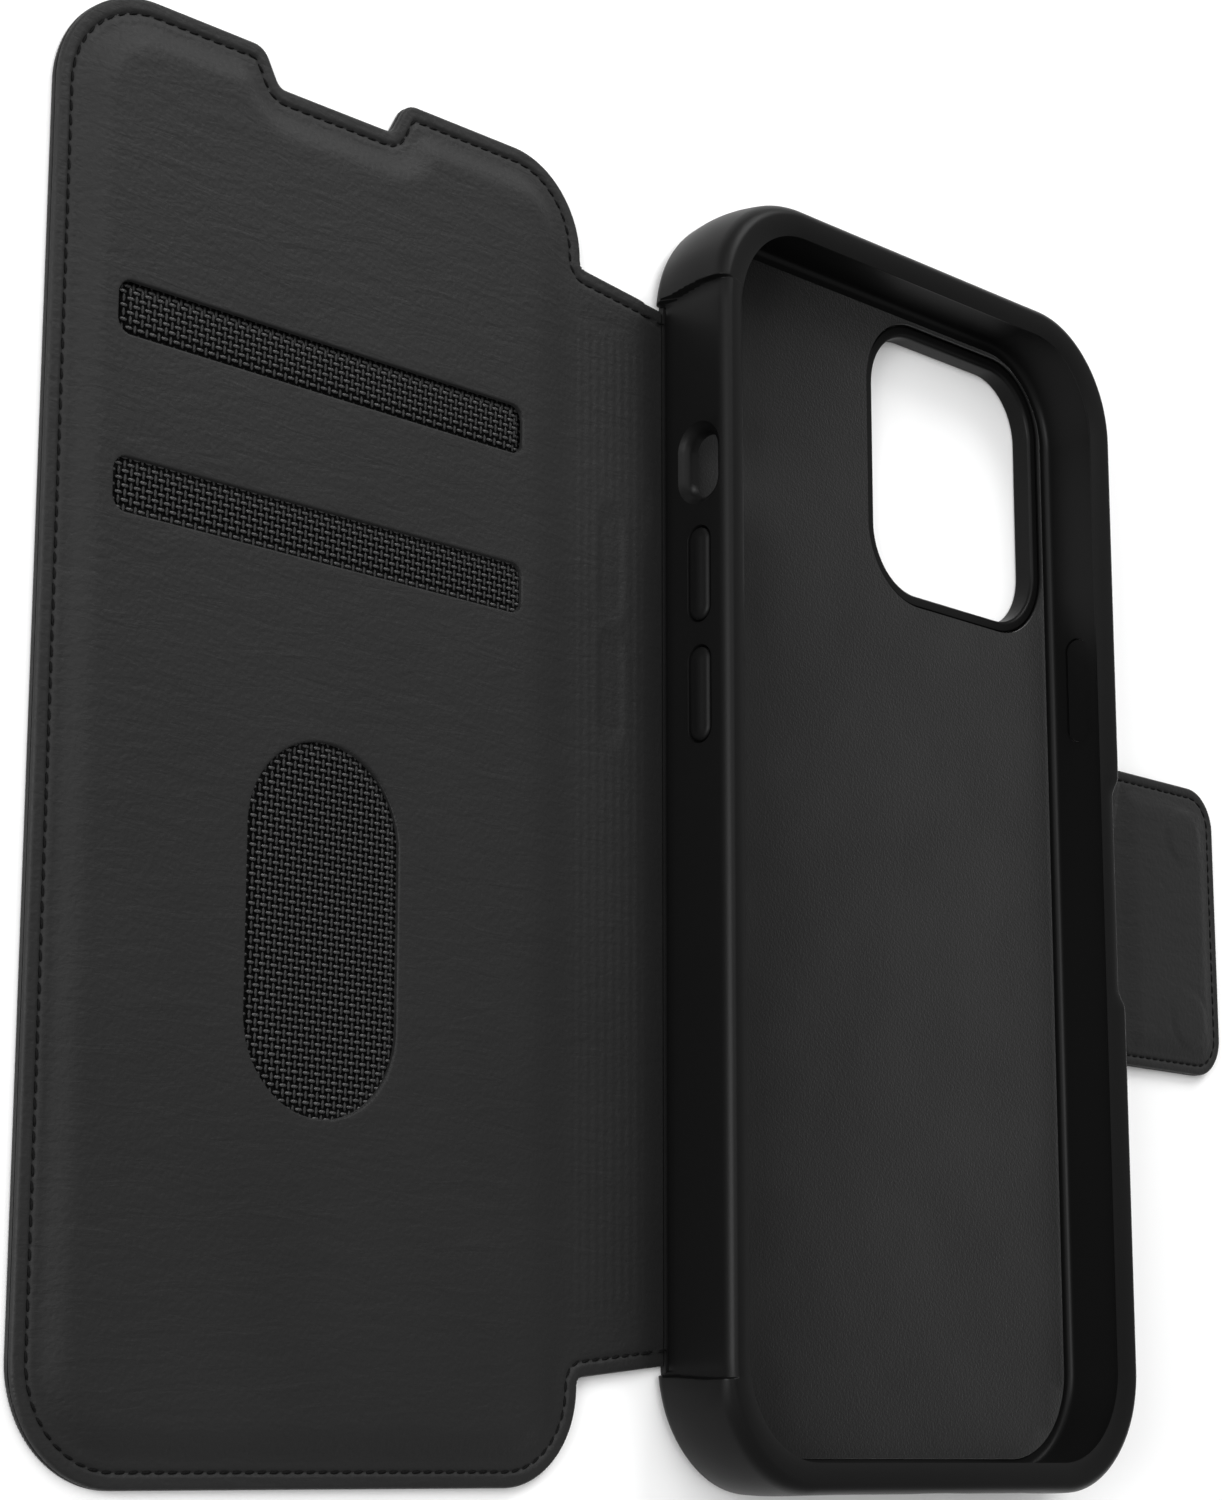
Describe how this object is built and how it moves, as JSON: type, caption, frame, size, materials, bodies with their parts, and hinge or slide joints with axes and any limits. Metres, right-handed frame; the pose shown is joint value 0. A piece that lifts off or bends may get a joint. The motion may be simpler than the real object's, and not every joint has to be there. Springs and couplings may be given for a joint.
{
  "type": "phone wallet case",
  "caption": "Book-style phone wallet case: moulded phone tray on a leather spine and cover with woven card pockets and a windowed inner panel, closed by a magnetic strap.",
  "frame": {"origin": "centre of the back face of the phone tray, on the surface the open case lies on", "axes": "+Z out of the mouth of the phone bay, +Y towards the top end of the phone, +X from the cover towards the latch tab"},
  "size_m": [0.2174, 0.166, 0.0127],
  "materials": {
    "moulded_tray": "black moulded polycarbonate and soft elastomer, fine satin texture",
    "moulded_button": "black moulded soft elastomer, satin",
    "microfibre_lining": "black napped microfibre",
    "outer_leather": "black fine-grained leather, matte",
    "inner_leather": "black fine-grained leather, matte, softly creased",
    "stiffening_board": "pressed fibre board",
    "strike_steel": "plain rolled steel",
    "magnet_plating": "nickel-plated magnet",
    "woven_pocket": "black plain-woven nylon",
    "sewing_thread": "black bonded sewing thread"
  },
  "bodies": {
    "tray": {"tray_shell": "moulded_tray", "camera_surround": "moulded_tray", "bay_lining": "microfibre_lining", "back_leather": "outer_leather"},
    "volume_up": {"volume_up_button": "moulded_button"},
    "volume_down": {"volume_down_button": "moulded_button"},
    "side_key": {"side_button": "moulded_button"},
    "spine": {"spine_outer_leather": "outer_leather", "spine_inner_leather": "inner_leather"},
    "cover": {"cover_outer_leather": "outer_leather", "cover_board": "stiffening_board", "strike_plate_upper": "strike_steel", "strike_plate_lower": "strike_steel", "pocket_lining": "woven_pocket", "pocket_divider": "woven_pocket", "cover_inner_leather": "inner_leather", "cover_stitching": "sewing_thread"},
    "strap": {"strap_outer_leather": "outer_leather", "strap_inner_leather": "inner_leather"},
    "latch": {"latch_outer_leather": "outer_leather", "latch_core": "stiffening_board", "magnet_upper": "magnet_plating", "magnet_lower": "magnet_plating", "latch_inner_leather": "inner_leather", "latch_stitching": "sewing_thread"}
  },
  "joints": [
    {"name": "spine_fold", "type": "hinge", "parent": "tray", "child": "spine", "pos_m": [-0.0422, 0, 0.0008], "axis": [0, 1, 0], "range_deg": [0, 90]},
    {"name": "cover_fold", "type": "hinge", "parent": "spine", "child": "cover", "pos_m": [-0.0566, 0, 0.0008], "axis": [0, 1, 0], "range_deg": [0, 90]},
    {"name": "strap_fold", "type": "hinge", "parent": "tray", "child": "strap", "pos_m": [0.0423, 0, 0.0008], "axis": [0, -1, 0], "range_deg": [0, 90]},
    {"name": "latch_fold", "type": "hinge", "parent": "strap", "child": "latch", "pos_m": [0.0596, 0, 0.0008], "axis": [0, -1, 0], "range_deg": [0, 90]},
    {"name": "volume_up_press", "type": "slide", "parent": "tray", "child": "volume_up", "axis": [1, 0, 0], "range_m": [0, 0.00035], "stiffness_N_per_m": 1000},
    {"name": "volume_down_press", "type": "slide", "parent": "tray", "child": "volume_down", "axis": [1, 0, 0], "range_m": [0, 0.00035], "stiffness_N_per_m": 1000},
    {"name": "side_press", "type": "slide", "parent": "tray", "child": "side_key", "axis": [-1, 0, 0], "range_m": [0, 0.00035], "stiffness_N_per_m": 1000}
  ]
}
